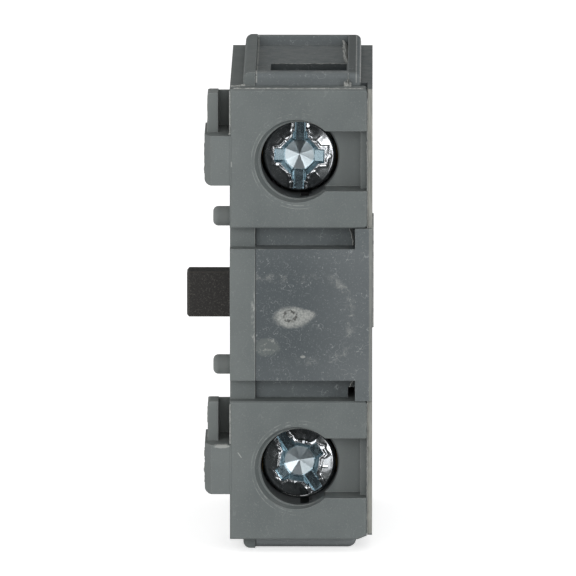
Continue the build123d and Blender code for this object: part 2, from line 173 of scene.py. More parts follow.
# %% A surface to paint
class Surface:
    """A new material with its main shader, a position in millimetres and a tone that coats go over."""

    def __init__(self, name):
        self.material = bpy.data.materials.new(name)
        self.material.use_nodes = True
        self.tree = self.material.node_tree
        self.shader = self.tree.nodes["Principled BSDF"]
        place = self.tree.nodes.new("ShaderNodeTexCoord")
        scale = self.tree.nodes.new("ShaderNodeMapping")
        scale.inputs["Scale"].default_value = (1 / MM, 1 / MM, 1 / MM)
        self.tree.links.new(place.outputs["Object"], scale.inputs["Vector"])
        self.place = scale.outputs["Vector"]
        split = self.tree.nodes.new("ShaderNodeSeparateXYZ")
        self.tree.links.new(self.place, split.inputs[0])
        self.x, self.y, self.z = (Field(self.tree, out) for out in split.outputs)

    def grain(self, per_mm, detail=3.0, rough=0.55, shift=0.0, stretch=(1, 1, 1)):
        """Noise from 0 to 1, with about this many lumps in a millimetre."""
        move = self.tree.nodes.new("ShaderNodeMapping")
        move.inputs["Location"].default_value = (shift, shift * 1.7, -shift)
        move.inputs["Scale"].default_value = stretch
        self.tree.links.new(self.place, move.inputs["Vector"])
        lumps = self.tree.nodes.new("ShaderNodeTexNoise")
        lumps.inputs["Scale"].default_value = per_mm
        lumps.inputs["Detail"].default_value = detail
        lumps.inputs["Roughness"].default_value = rough
        self.tree.links.new(move.outputs["Vector"], lumps.inputs["Vector"])
        return Field(self.tree, lumps.outputs["Fac"])

    def blend(self, factor, first, second):
        """Colour that goes from first to second with factor."""
        mix = self.tree.nodes.new("ShaderNodeMix")
        mix.data_type = "RGBA"
        self.tree.links.new(factor.socket, mix.inputs["Factor"])
        for value, socket in ((first, mix.inputs[6]), (second, mix.inputs[7])):
            if isinstance(value, tuple):
                socket.default_value = (*value, 1.0)
            else:
                self.tree.links.new(value, socket)
        return mix.outputs[2]

    def set(self, name, value):
        self.shader.inputs[name].default_value = value

    def coat(self, factor, colour):
        """Lays a colour over the surface's tone where factor is high."""
        self.tone = self.blend(factor, self.tone, colour)

    def facing(self, axis):
        """How far the surface faces along X, Y or Z, from -1 to 1."""
        shape = self.tree.nodes.new("ShaderNodeNewGeometry")
        split = self.tree.nodes.new("ShaderNodeSeparateXYZ")
        self.tree.links.new(shape.outputs["Normal"], split.inputs[0])
        return Field(self.tree, split.outputs["XYZ".index(axis)])

    def edge(self, radius_mm):
        """1 on sharp edges and 0 on flat walls, with the rounded normal that shows it."""
        rounded = self.tree.nodes.new("ShaderNodeBevel")
        rounded.samples = 6
        rounded.inputs["Radius"].default_value = radius_mm * MM
        shape = self.tree.nodes.new("ShaderNodeNewGeometry")
        product = self.tree.nodes.new("ShaderNodeVectorMath")
        product.operation = "DOT_PRODUCT"
        self.tree.links.new(rounded.outputs["Normal"], product.inputs[0])
        self.tree.links.new(shape.outputs["Normal"], product.inputs[1])
        return Field(self.tree, product.outputs["Value"]).fall(0.75, 0.99), rounded.outputs["Normal"]

    def cavity(self, reach_mm):
        """1 in the open and 0 deep in a corner or a recess, where painted shade goes."""
        shelter = self.tree.nodes.new("ShaderNodeAmbientOcclusion")
        shelter.samples = 6
        shelter.inputs["Distance"].default_value = reach_mm * MM
        return Field(self.tree, shelter.outputs["AO"])

    def hairline(self, per_mm, shift, stretch=(1, 1, 1)):
        """Thin winding lines: the places where a noise passes its middle value."""
        return (self.grain(per_mm, 2.0, 0.4, shift, stretch) - 0.5).size().fall(0.003, 0.012)

    def finish(self, roughness, height=None, height_mm=0.01, normal=None):
        """Joins the colour, the roughness and the relief to the shader."""
        self.tree.links.new(self.tone, self.shader.inputs["Base Color"])
        self.tree.links.new(roughness.socket, self.shader.inputs["Roughness"])
        if height is not None:
            relief = self.tree.nodes.new("ShaderNodeBump")
            relief.inputs["Strength"].default_value = 1.0
            relief.inputs["Distance"].default_value = height_mm * MM
            self.tree.links.new(height.socket, relief.inputs["Height"])
            if normal is not None:
                self.tree.links.new(normal, relief.inputs["Normal"])
            self.tree.links.new(relief.outputs["Normal"], self.shader.inputs["Normal"])
        return self.material


# %% [markdown]
# ## The mounting shell's plastic
# The shell with the two terminal blocks is a grey nylon with a touch of green. Its skin is satin, with
# fine grain, a little pale dust and lighter edges, partly polished by handling and partly a painted
# highlight. Along the parting line the edge is scuffed white, and the foot of the lower hook has lost
# some skin. Corners, recesses and screw wells get painted shade, and the hooks get painted light.

# %% Grey-green nylon
NYLON = (0.146, 0.164, 0.162)
NYLON_DARK = (0.122, 0.138, 0.138)
NYLON_PALE_DUST_AND_LIGHT = (0.225, 0.242, 0.236)
NYLON_WEAR_AND_HIGHLIGHT = (0.34, 0.355, 0.345)
RECESS_SHADE = (0.060, 0.066, 0.067)
SCUFF = (0.40, 0.41, 0.39)
FOOT_SCAR = (-0.75, -11.32)
FOOT_SCAR_HALF = (0.85, 0.22)
TOP_DUST = (0.215, 0.222, 0.212)
PAINTED_WELL_SHADE = (0.028, 0.031, 0.032)
SCREW_X = 5.9
SCREW_Z = 13.2
WELL_RADIUS = 3.4
NOTCH_X = (6.0, 6.95)
NOTCH_UPPER_Z = (9.6, 10.95)
NOTCH_LOWER_Z = (-16.8, -15.45)
NOTCH_SHADE = (0.008, 0.008, 0.009)
PEELED_Z = (-3.2, 1.8)
FEET = {"upper": (11.1, 15.35), "lower": (-15.45, -11.2)}
CHAMFER = 0.15
MIDDLE_EDGE = 7.4
PLASTIC_SHEEN = 0.3


def oval(skin, middle, half):
    """Distance from the middle of an oval, 1 on its edge."""
    across = (skin.x - middle[0]) * (1 / half[0])
    along = (skin.z - middle[1]) * (1 / half[1])
    return (across * across + along * along).step("SQRT")


def on_front(skin):
    """1 on faces that look forward."""
    return skin.facing("Y").fall(-0.9, -0.5)


def settled_dust(skin):
    """Patches of dust on level faces."""
    return skin.facing("Z").rise(0.6, 0.95) * skin.grain(1.1, 4.0, 0.7, shift=77.0).rise(0.3, 0.7)


def add_recess_shade(skin):
    # Painted shade: darker in corners and recesses
    skin.coat(skin.cavity(1.2).fall(0.12, 0.45) * 0.5, RECESS_SHADE)


def mounting_nylon():
    skin = Surface("mounting_nylon")
    skin.set("Specular IOR Level", PLASTIC_SHEEN)
    broad = skin.grain(0.35, 3.0, shift=3.0)
    fine = skin.grain(9.0, 4.0, 0.7)
    dust = skin.grain(8.5, 3.0, 0.65, shift=11.0).rise(0.585, 0.66)
    hair = skin.hairline(0.9, 21.0, (1, 1, 0.5)) * skin.grain(0.8, 2.0, shift=31.0).rise(0.54, 0.62)
    edge, rounded = skin.edge(0.13)
    worn_and_highlit_edge = edge * skin.grain(3.0, 3.0, shift=5.0).rise(0.22, 0.55)
    # No edge shows where the hooks' feet run into the block
    beside_foot = skin.z.between(*FEET["upper"], 0.05).most(skin.z.between(*FEET["lower"], 0.05))
    worn_and_highlit_edge = worn_and_highlit_edge * (skin.x.size().fall(0.35, 0.45) * beside_foot).flipped()
    front_only = on_front(skin)
    skin.tone = skin.blend((broad * 0.7 + fine * 0.4).rise(0.3, 0.8), NYLON_DARK, NYLON)
    painted_light_hooks = skin.x.fall(-0.5, 0.1) * skin.y.rise(FRONT + 1.5, FRONT + 3.0)
    # Painted light: paler towards the hooks and on their deep parts, and right of the screws
    skin.coat(skin.x.fall(-1.0, 3.0) * 0.24, NYLON_PALE_DUST_AND_LIGHT)
    skin.coat(painted_light_hooks * 0.95, NYLON_PALE_DUST_AND_LIGHT)
    painted_light_beside_screw = skin.x.rise(8.6, 9.2) * skin.y.between(FRONT + 0.4, FRONT + 4.5, 0.2)
    # Painted light in the recess right of each screw
    skin.coat(painted_light_beside_screw * 0.35, NYLON_PALE_DUST_AND_LIGHT)
    skin.coat(settled_dust(skin) * 0.3, TOP_DUST)
    skin.coat(dust * 0.5, NYLON_PALE_DUST_AND_LIGHT)
    skin.coat(hair * 0.35, NYLON_PALE_DUST_AND_LIGHT)
    # Pale edges: partly wear, partly painted highlight
    skin.coat(worn_and_highlit_edge * 0.7, NYLON_WEAR_AND_HIGHLIGHT)
    near_parting = skin.x.between(1.85, PARTING + 0.1, 0.12) * skin.z.between(*PEELED_Z, 0.7)
    flaking = skin.grain(2.6, 5.0, 0.7, shift=2.0, stretch=(1, 1, 0.4)).rise(0.46, 0.62)
    seam = skin.x.between(PARTING - 0.05, PARTING + 0.03, 0.02)
    seam = seam * skin.z.size().fall(MIDDLE_EDGE - 0.05, MIDDLE_EDGE + 0.05)
    seam = seam * skin.grain(1.2, 5.0, 0.7, shift=15.0).rise(0.4, 0.6)
    scar = oval(skin, FOOT_SCAR, FOOT_SCAR_HALF) + skin.grain(3.5, 4.0, shift=13.0) * 0.9
    scar = scar.fall(1.1, 1.25)
    # Two nicks at the left edge: one upright, one slanting
    nick = skin.x.between(0.10, 0.19, 0.02) * skin.z.between(12.7, 13.15, 0.04)
    slant = ((skin.x - 0.83) * 0.83 + (skin.z + 12.07) * 0.56).size().fall(0.03, 0.06)
    nicks = nick.most(slant * skin.z.between(-12.3, -11.85, 0.04))
    scuffed = (near_parting * flaking).most(seam * 0.5).most(scar).most(nicks) * front_only
    skin.coat(scuffed * 0.65, SCUFF)
    # Painted shade in corners and recesses
    add_recess_shade(skin)
    # The little notch under each screw well is painted black as shade
    notch_shade = skin.x.between(*NOTCH_X, 0.03) * skin.y.rise(FRONT + 2.2, FRONT + 2.4)
    notch_shade = notch_shade * skin.z.between(*NOTCH_UPPER_Z, 0.03).most(skin.z.between(*NOTCH_LOWER_Z, 0.03))
    from_axis = (skin.x - SCREW_X).step("POWER", 2.0) + (skin.z.size() - SCREW_Z).step("POWER", 2.0)
    from_axis = from_axis.step("SQRT")
    # Pale arcs where a driver has slipped round the mouth of the well
    arcs = from_axis.between(3.76, 3.84, 0.03).most(from_axis.between(4.05, 4.1, 0.03))
    arcs = arcs * skin.x.fall(6.0, 7.6)
    arcs = arcs * front_only * skin.grain(1.4, 5.0, 0.75, shift=44.0).rise(0.42, 0.58)
    skin.coat(arcs * 0.4, SCUFF)
    # Painted shade: dark inside each screw well's bore
    painted_well_shade = from_axis.fall(WELL_RADIUS - 0.04, WELL_RADIUS + 0.04) * skin.y.rise(FRONT + 0.4, FRONT + 1.6)
    skin.coat(painted_well_shade * 0.75, PAINTED_WELL_SHADE)
    # Painted shade: the notch is coated black
    skin.coat(notch_shade, NOTCH_SHADE)
    rough = fine * 0.16 + dust * 0.12 + 0.5
    relief = fine * 0.6 + skin.grain(24.0, 2.0, shift=7.0) * 0.4 + scuffed * 0.8 + dust * 0.3
    return skin.finish(rough, relief, 0.012, rounded)


# %% [markdown]
# ## The cover's plastic
# The cover is the same nylon from another batch: darker, and bluer. Its middle block carries the most
# marks. There is a white scraped oval with a pitted ring, where the mould's gate was trimmed, a faint
# rounded outline of scratches and a stain. Each mark is a formula of the place on the front face, broken
# up by noise. The plate's thin edge beside the terminal blocks was trimmed after moulding, so it is pale
# and streaky.

# %% Where the cover's marks lie, in millimetres
COVER = (0.124, 0.141, 0.145)
COVER_DARK = (0.102, 0.117, 0.122)
BLOCK_DARK = (0.064, 0.076, 0.083)
COVER_PALE_DUST_AND_LIGHT = (0.215, 0.232, 0.236)
COVER_WEAR_AND_HIGHLIGHT = (0.31, 0.33, 0.325)
LINT = (0.34, 0.36, 0.36)
SCRAPE = (0.37, 0.38, 0.36)
PIT = (0.05, 0.05, 0.046)
PIT_DARK = (0.028, 0.031, 0.033)
STAIN = (0.155, 0.172, 0.163)
RIM_SHADE = (0.060, 0.058, 0.046)
TRIMMED = (0.33, 0.33, 0.30)
TRIMMED_DARK = (0.20, 0.205, 0.19)
PAD_HIGHLIGHT = (0.60, 0.60, 0.56)
GATE = (5.3, -0.2)
GATE_HALF = (1.45, 0.85)
GATE_TAIL = (6.35, 0.0)
GATE_TAIL_HALF = (0.95, 0.5)
GATE_RING = (5.1, -0.1)
GATE_RING_HALF = (0.5, 0.42)
OUTLINE_MIDDLE = (5.0, -0.43)
OUTLINE_HALF = (5.25, 3.57)
OUTLINE_CORNER = 2.4
STAIN_MIDDLE = (3.15, -2.75)
STAIN_HALF = (1.15, 0.8)
CHIP = (6.2, -3.6)
CHIP_HALF = (0.26, 0.14)
RIM_RIGHT = (10.1, 10.66)
RIM_LINES = ((10.68, 10.76), (11.02, 11.12), (PARTING + 0.04, PARTING + 0.16))


def rounded_outline(skin):
    """Distance from a rectangle with round corners, in millimetres."""
    across = ((skin.x - OUTLINE_MIDDLE[0]).size() - (OUTLINE_HALF[0] - OUTLINE_CORNER)).most(0.0)
    along = ((skin.z - OUTLINE_MIDDLE[1]).size() - (OUTLINE_HALF[1] - OUTLINE_CORNER)).most(0.0)
    return ((across * across + along * along).step("SQRT") - OUTLINE_CORNER).size()


print("gate mark at", GATE, "mm")

# %% [markdown]
# The marks go on in the order in which they came: grain first, then dust and lint, the scratches of an
# outline, the stain, and last the scraped gate with its pits. The relief uses the same fields, so a pit
# that looks dark is deep.

# %% Blue-grey nylon with its marks
def cover_nylon():
    skin = Surface("cover_nylon")
    skin.set("Specular IOR Level", PLASTIC_SHEEN)
    broad = skin.grain(0.3, 3.0, shift=6.0)
    fine = skin.grain(8.0, 4.0, 0.7, shift=1.0)
    dust = skin.grain(7.5, 3.0, 0.65, shift=4.0).rise(0.575, 0.65)
    lint = skin.hairline(1.4, 41.0) * skin.grain(1.1, 2.0, shift=37.0).rise(0.52, 0.6)
    front_only = on_front(skin)
    block_only = front_only * skin.z.size().fall(MIDDLE_HALF - 0.05, MIDDLE_HALF + 0.05)
    edge, rounded = skin.edge(0.12)
    worn_and_highlit_edge = edge * skin.grain(3.0, 3.0, shift=8.0).rise(0.25, 0.55)
    skin.tone = skin.blend((broad * 0.8 + fine * 0.35).rise(0.3, 0.8), COVER_DARK, COVER)
    # The middle block is darkest at its left, and paler and dustier towards the plate
    skin.coat(block_only * 0.74, BLOCK_DARK)
    paler = skin.x.rise(5.0, 11.5) * 0.26 + skin.z.size().rise(2.5, 5.6) * 0.09
    skin.coat(paler * block_only, COVER_PALE_DUST_AND_LIGHT)
    settled = settled_dust(skin) * (skin.x.fall(10.0, 10.2) + skin.x.rise(11.12, 11.2)).least(1.0)
    skin.coat(settled * 0.55, TOP_DUST)
    rim_right = skin.x.between(*RIM_RIGHT, 0.04) * skin.z.rise(19.8, 20.0)
    rim_right = rim_right * skin.facing("Z").rise(0.6, 0.95)
    skin.coat(rim_right * 0.32, RIM_SHADE)
    # Painted light: the rims' front faces are paler, the lower one most
    painted_light_rim_front = (skin.z.rise(19.3, 19.4) * 0.2 + skin.z.fall(-19.4, -19.3) * 0.9) * front_only
    skin.coat(painted_light_rim_front, COVER_PALE_DUST_AND_LIGHT)
    skin.coat(dust * 0.4, COVER_PALE_DUST_AND_LIGHT)
    specks = skin.grain(4.2, 2.0, 0.5, shift=51.0).rise(0.70, 0.76)
    skin.coat(specks.most(lint) * 0.5, LINT)
    haze = skin.grain(1.3, 8.0, 0.8, shift=9.0).rise(0.46, 0.66)
    threads = skin.hairline(2.4, 61.0).most(skin.hairline(1.7, 67.0, (1, 1, 0.6)))
    outline = rounded_outline(skin).fall(0.05, 0.55) * haze * (threads * 0.8 + fine * 0.75)
    upper_right = (skin.x.rise(4.0, 8.5) + skin.z.rise(1.5, 3.0)).least(1.0)
    outline = outline * upper_right * block_only
    skin.coat(outline, SCRAPE)
    ragged = skin.grain(2.4, 4.0, shift=13.0) * 0.5
    stain = (oval(skin, STAIN_MIDDLE, STAIN_HALF) + ragged * 1.6).fall(1.15, 1.5) * block_only
    spots = stain * skin.grain(2.6, 5.0, 0.7, shift=23.0).rise(0.54, 0.64)
    skin.coat(stain * 0.5, STAIN)
    skin.coat(spots * 0.5, SCRAPE)
    # The trimmed gate: a scraped oval with a pitted ring
    frayed = skin.grain(4.0, 6.0, 0.8, shift=14.0)
    tail = oval(skin, GATE_TAIL, GATE_TAIL_HALF) + 0.12
    gate = oval(skin, GATE, GATE_HALF).least(tail) + ragged * 0.6 + frayed * 0.7
    gate = gate.fall(1.25, 1.75) * block_only
    chip = (oval(skin, CHIP, CHIP_HALF) + frayed).fall(1.2, 1.5) * block_only
    ring = oval(skin, GATE_RING, GATE_RING_HALF)
    pits = (ring - 1.0).size().fall(0.15, 0.4)
    pits = pits * skin.grain(4.5, 5.0, 0.7, shift=17.0).rise(0.44, 0.56) * gate
    mottled = skin.grain(6.0, 5.0, 0.8, shift=71.0).rise(0.36, 0.62)
    scraped = (gate * (mottled * 0.55 + 0.4)).most(chip * 0.6)
    skin.coat(scraped, SCRAPE)
    skin.coat(pits * 0.8, PIT)
    # Pale edges: partly wear, partly painted highlight
    skin.coat(worn_and_highlit_edge * 0.65, COVER_WEAR_AND_HIGHLIGHT)
    # The trimmed edge of the plate
    beside_blocks = skin.z.size().rise(7.38, 7.44) * skin.x.rise(11.5, 11.56)
    at_middle = skin.z.size().fall(7.38, 7.44) * skin.x.rise(11.76, 11.9) * 0.6
    streaks = skin.grain(2.2, 4.0, 0.7, shift=19.0, stretch=(3, 1, 0.22)).rise(0.3, 0.7)
    shallow = skin.y.fall(FRONT + 0.9, FRONT + 1.0)
    trimmed = beside_blocks.most(at_middle) * front_only * shallow
    trim_tone = skin.blend(streaks, TRIMMED_DARK, TRIMMED)
    skin.coat(trimmed * 0.9, trim_tone)
    # Painted shade in corners and recesses
    add_recess_shade(skin)
    # Dirt has drawn a dark line along the joint with the other shell
    joint = skin.x.fall(PARTING + 0.05, PARTING + 0.11) * front_only
    skin.coat(joint * 0.75, PIT_DARK)
    # Pale lines run along the upper rim: its joint, and two at its right end
    first, second, third = (skin.x.between(*place, 0.02) for place in RIM_LINES)
    lines = first.most(second).most(third)
    lines = lines * skin.z.rise(19.55, 19.65) * skin.grain(1.6, 4.0, 0.7, shift=81.0).rise(0.36, 0.5)
    skin.coat(lines * 0.75, SCRAPE)
    # The low pad's edge on the plate's outside gets a nearly white painted highlight
    painted_highlight_pad_edge = skin.x.rise(COVER_RIGHT + 0.02, COVER_RIGHT + 0.05)
    painted_highlight_pad_edge = painted_highlight_pad_edge * skin.grain(1.2, 4.0, 0.7, shift=83.0).rise(0.25, 0.6)
    skin.coat(painted_highlight_pad_edge * skin.facing("X").fall(0.6, 0.9), PAD_HIGHLIGHT)
    rough = fine * 0.15 + dust * 0.12 + gate * 0.2 + 0.48
    relief = fine * 0.6 + skin.grain(24.0, 2.0, shift=3.0) * 0.4
    relief = relief + scraped * 1.4 - pits * 3.0 + outline * 0.6
    return skin.finish(rough, relief, 0.012, rounded)


# %% [markdown]
# ## The plunger
# It is a black moulding, rubbed brown on its edges and sprinkled with pale dust. The same kind of formula
# paints it, with no marks at known places.

# %% Black plunger plastic
BLACK = (0.032, 0.030, 0.029)
BLACK_WORN = (0.046, 0.044, 0.041)
RUBBED_BROWN = (0.105, 0.096, 0.084)
PLUNGER_DUST = (0.17, 0.16, 0.145)


def plunger_black():
    skin = Surface("plunger_black")
    skin.set("Specular IOR Level", PLASTIC_SHEEN)
    fine = skin.grain(7.0, 4.0, 0.7)
    edge, rounded = skin.edge(0.3)
    dust = skin.grain(6.5, 4.0, 0.75, shift=5.0).rise(0.53, 0.64)
    skin.tone = skin.blend(fine.rise(0.3, 0.8), BLACK, BLACK_WORN)
    skin.coat(edge * 0.8, RUBBED_BROWN)
    skin.coat(dust * 0.5, PLUNGER_DUST)
    rough = fine * 0.2 + 0.5
    return skin.finish(rough, fine + dust * 0.5, 0.014, rounded)


# %% [markdown]
# ## Metals
# The screws, saddles and nuts have a bright zinc plate with a blue cast. The strips and the bridge are
# brass, the contact tips are silver alloy, and the springs are drawn steel. All are full metals, told
# apart by their colour and by how finely their grain scatters the light.

# %% Plated, stamped and drawn metal
def metal(name, dark, light, rough_low, rough_high, per_mm, stretch=(1, 1, 1), relief_mm=0.004):
    skin = Surface(name)
    skin.set("Metallic", 1.0)
    broad = skin.grain(0.9, 3.0, shift=2.0)
    fine = skin.grain(per_mm, 4.0, 0.65, stretch=stretch)
    skin.tone = skin.blend((broad * 0.6 + fine * 0.5).rise(0.3, 0.75), dark, light)
    rough = (broad * 0.5 + fine * 0.5).rise(0.3, 0.7) * (rough_high - rough_low) + rough_low
    return skin.finish(rough, fine, relief_mm)


zinc = metal("zinc_plate", (0.52, 0.55, 0.58), (0.80, 0.82, 0.84), 0.16, 0.28, 3.5, relief_mm=0.002)
blue_zinc = metal("zinc_in_recess", (0.22, 0.31, 0.35), (0.41, 0.53, 0.59), 0.2, 0.32, 2.5, relief_mm=0.0015)
brass = metal("strip_brass", (0.50, 0.36, 0.17), (0.74, 0.57, 0.30), 0.28, 0.45, 5.0, (0.2, 1, 1))
silver = metal("contact_silver", (0.62, 0.61, 0.57), (0.82, 0.81, 0.78), 0.25, 0.4, 9.0)
wire = metal("spring_wire", (0.36, 0.37, 0.38), (0.55, 0.56, 0.58), 0.25, 0.4, 12.0)
print("metals:", zinc.name, blue_zinc.name, brass.name, silver.name, wire.name)

# %% [markdown]
# The pit in the middle of each screw is pressed by a turned punch, which leaves rings too fine to see.
# They spread the light across themselves, so the pit shows bright fans from its centre. The shader's
# anisotropy does that, with its direction taken round the screw's own axis.

# %% The turned pit
def turned_zinc():
    skin = Surface("zinc_turned_pit")
    skin.set("Metallic", 1.0)
    skin.set("Anisotropic", 0.85)
    skin.set("Anisotropic Rotation", 0.25)
    around = skin.tree.nodes.new("ShaderNodeTangent")
    around.direction_type = "RADIAL"
    around.axis = "Y"
    skin.tree.links.new(around.outputs["Tangent"], skin.shader.inputs["Tangent"])
    fine = skin.grain(5.0, 3.0)
    skin.tone = skin.blend(fine, (0.52, 0.62, 0.67), (0.84, 0.91, 0.94))
    return skin.finish(fine * 0.1 + 0.3)


pit_zinc = turned_zinc()
print("pit:", pit_zinc.name)

# %% [markdown]
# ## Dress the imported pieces
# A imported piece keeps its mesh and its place. Only its material slots change.

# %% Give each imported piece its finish
FINISHES = {
    "mounting_shell": mounting_nylon(),
    "cover_shell": cover_nylon(),
    "plunger": plunger_black(),
    "contact_bridge": brass,
    "bridge_tip_upper": silver,
    "bridge_tip_lower": silver,
}
for end in ("upper", "lower"):
    FINISHES[end + "_fixed_tip"] = silver
    FINISHES[end + "_terminal_strip"] = brass
    FINISHES[end + "_clamp_nut"] = zinc
    FINISHES[end + "_clamp_saddle"] = zinc


def dress(piece, material):
    if not piece.material_slots:
        piece.data.materials.append(material)
    for slot in piece.material_slots:
        slot.material = material


for name, material in FINISHES.items():
    dress(nodes[name], material)
print("dressed:", len(FINISHES))

# %% [markdown]
# Where each hook's foot meets the block, the real moulding runs on as one face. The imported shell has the
# block's small chamfer there. A little sliver of the same nylon, a triangle in section, fills it on both
# hooks.

# %% Fill the chamfer beside the hooks' feet
SHY = 0.01
UNDER = FRONT + 0.002
SLIVER = [(-SHY, UNDER), (CHAMFER + 0.02, UNDER), (-SHY, FRONT + CHAMFER + 0.03)]
for hook, (bottom, top) in FEET.items():
    spots = [(x * MM, y * MM, z * MM) for z in (bottom + SHY, top - SHY) for x, y in SLIVER]
    sliver = bpy.data.meshes.new(hook + "_foot_fill")
    sliver.from_pydata(spots, [], [(2, 1, 0), (3, 4, 5), (0, 1, 4, 3), (1, 2, 5, 4), (2, 0, 3, 5)])
    filled = placed(hook + "_foot_fill", sliver)
    sliver.materials.append(FINISHES["mounting_shell"])
    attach(filled, "housing")
print("filled:", list(FEET))

# %% [markdown]
# The screws, the springs and the flash are drawn point by point. Each drawing becomes an object in the
# same way, and a spring or a strip of flash is a tube of such points.

# %% Turn a drawing into a piece
def into_piece(name, drawing, finishes, smooth):
    bmesh.ops.recalc_face_normals(drawing, faces=drawing.faces)
    data = bpy.data.meshes.new(name)
    drawing.to_mesh(data)
    drawing.free()
    data.polygons.foreach_set("use_smooth", [smooth] * len(data.polygons))
    for finish in finishes:
        data.materials.append(finish)
    return placed(name, data)


def close_tube(drawing, loops):
    """Faces between loops of points, and a flat cap at each end."""
    count = len(loops[0])
    for first, second in zip(loops, loops[1:]):
        for side in range(count):
            after = (side + 1) % count
            drawing.faces.new((first[side], first[after], second[after], second[side]))
    drawing.faces.new(loops[0])
    drawing.faces.new(list(reversed(loops[-1])))


# %% [markdown]
# ## The terminal screws
# The head takes either a flat or a cross-tip driver. It has a low dome, a slot right across, a cross
# with sloping walls, a faceted hollow at the middle and four small tick marks between the arms. All of
# that is the shape of one skin seen from the front, so the head is made as a height over a round grid:
# one formula says how deep each point lies. The shank is turned round it with its thread as a helical
# ridge.

# %% The head's form, in millimetres
HEAD_RADIUS = 3.1
HEAD_SHOULDER = 2.8
HEAD_DOME = 0.58
HEAD_EDGE = 1.3
HEAD_HEIGHT = 3.0
SLOT_FLOOR = 0.36
SLOT_TOP = 0.50
SLOT_DEPTH = 1.05
SLOT_END = 2.86
ARM_REACH = 2.2
ARM_HALF = 0.70
ARM_SIDE = 0.24
ARM_END = 0.16
ARM_DEPTH = 0.72
ARM_SLOPE = 0.18
BOWL_REACH = 1.62
BOWL_CORNER = 1.48
BOWL_WALL = 0.46
BOWL_DEPTH = 0.95
PIT_RADIUS = 1.25
PIT_RIM = 1.08
PIT_DEPTH = 1.5
FACETS = 8
BURR_HEIGHT = 0.065
BURR_WIDTH = 0.125
BURR_MIDDLE = 0.14
BURR_REACH = 0.4
BENT_WIDTH = 0.30
BENT_RISE = 0.11
BENT_LEVEL = 0.30
BENT_FOLLOW = 0.45
BENT_FADE = 0.1
BENT_FROM = 1.7
BENT_GROWTH = 0.4
BENT_TO = 2.95
SKIN_ROUGHNESS = 0.012
LIP_ROUGHNESS = 0.014
TICK_HEIGHT = 0.036
TICK_HALF = 0.09
TICK_INNER = 1.66
TICK_OUTER = 2.5
SHANK_RADIUS = 1.70
SHANK_LENGTH = 7.0
THREAD_PITCH = 0.6
THREAD_HEIGHT = 0.16


def ramp(distance, width, depth):
    """Depth of a sloping wall: nothing outside, full depth once width inside."""
    return depth * min(max(distance / width, 0.0), 1.0)


def dome_depth(radius):
    """A shallow dome with a steep round edge."""
    ball = (HEAD_SHOULDER ** 2 + HEAD_DOME ** 2) / (2 * HEAD_DOME)
    if radius < HEAD_SHOULDER:
        return ball - math.sqrt(ball * ball - radius * radius)
    share = (radius - HEAD_SHOULDER) / (HEAD_RADIUS - HEAD_SHOULDER)
    return HEAD_DOME + (HEAD_EDGE - HEAD_DOME) * (1 - math.sqrt(max(1 - share * share, 0.0)))


def recess_depth(along, across):
    """Slot, cross, bowl and pit, whichever is deepest here."""
    radius = math.hypot(along, across)
    depth = 0.0
    if radius < SLOT_END:
        depth = ramp(SLOT_TOP - abs(across), SLOT_TOP - SLOT_FLOOR, SLOT_DEPTH)
    for one, other in ((along, across), (across, along)):
        floor = ARM_DEPTH + ARM_SLOPE * (ARM_REACH - abs(other))
        side = ramp(ARM_HALF - abs(one), ARM_SIDE, floor)
        depth = max(depth, min(side, ramp(ARM_REACH - abs(other), ARM_END, floor)))
    bowl = max(abs(along), abs(across), (abs(along) + abs(across)) / BOWL_CORNER)
    down = ramp(BOWL_REACH - bowl, BOWL_WALL, 1.0)
    depth = max(depth, BOWL_DEPTH * (1 - (1 - down) ** 2))
    turn = math.atan2(across, along)
    half_facet = math.pi / FACETS
    facet = radius * math.cos((turn + half_facet) % (2 * half_facet) - half_facet)
    if facet < PIT_RADIUS:
        depth = max(depth, PIT_DEPTH - (PIT_DEPTH - PIT_RIM) * facet / PIT_RADIUS)
    return depth


def edge_distance(along, across):
    """Rough distance outside the rim of the recess."""
    slot = abs(across) - SLOT_TOP
    along_arm = max(abs(along) - ARM_HALF, abs(across) - ARM_REACH)
    across_arm = max(abs(across) - ARM_HALF, abs(along) - ARM_REACH)
    bowl = (abs(along) + abs(across)) / BOWL_CORNER - BOWL_REACH
    return min(slot, along_arm, across_arm, bowl)


def head_depth(along, across, seed):
    """How far the head's skin lies below its crown; along is the slot's direction."""
    radius = math.hypot(along, across)
    depth = max(dome_depth(radius), recess_depth(along, across))
    outside = edge_distance(along, across)
    # The punch pushed a torn ridge up round the recess
    if 0.0 < outside < BURR_REACH and radius < HEAD_SHOULDER:
        rough = noise.noise(Vector((along * 2.2, across * 2.2, seed))) * 0.9 + 0.85
        rough += 0.2 * noise.noise(Vector((along * 4, across * 4, seed + 3)))
        depth -= BURR_HEIGHT * max(rough, 0.0) * math.exp(-(((outside - BURR_MIDDLE) / BURR_WIDTH) ** 2))
    # The slot's lips are bent outwards towards its ends, so they stand above the dome
    from_lip = abs(across) - SLOT_TOP
    if 0.0 < from_lip < BENT_WIDTH + BENT_FADE and BENT_FROM < radius < BENT_TO:
        grown = min((radius - BENT_FROM) / BENT_GROWTH, 1.0)
        ragged = LIP_ROUGHNESS * noise.noise(Vector((along * 3, across * 5, seed + 6)))
        rise = BENT_RISE * (1 - from_lip / BENT_WIDTH)
        lip = BENT_LEVEL + BENT_FOLLOW * (depth - BENT_LEVEL) + rise + ragged
        fade = max(0.0, (from_lip - BENT_WIDTH) / BENT_FADE)
        lip += (depth - lip) * max(fade, 1 - grown)
        depth = min(depth, lip)
    # Tick marks halfway between the arms
    corner = abs(abs(along) - abs(across)) / math.sqrt(2)
    if TICK_INNER < radius < TICK_OUTER:
        depth -= TICK_HEIGHT * max(0.0, 1 - corner / TICK_HALF)
    if outside > 0:
        depth += SKIN_ROUGHNESS * noise.noise(Vector((along * 2.2, across * 2.2, seed + 9)))
    return depth


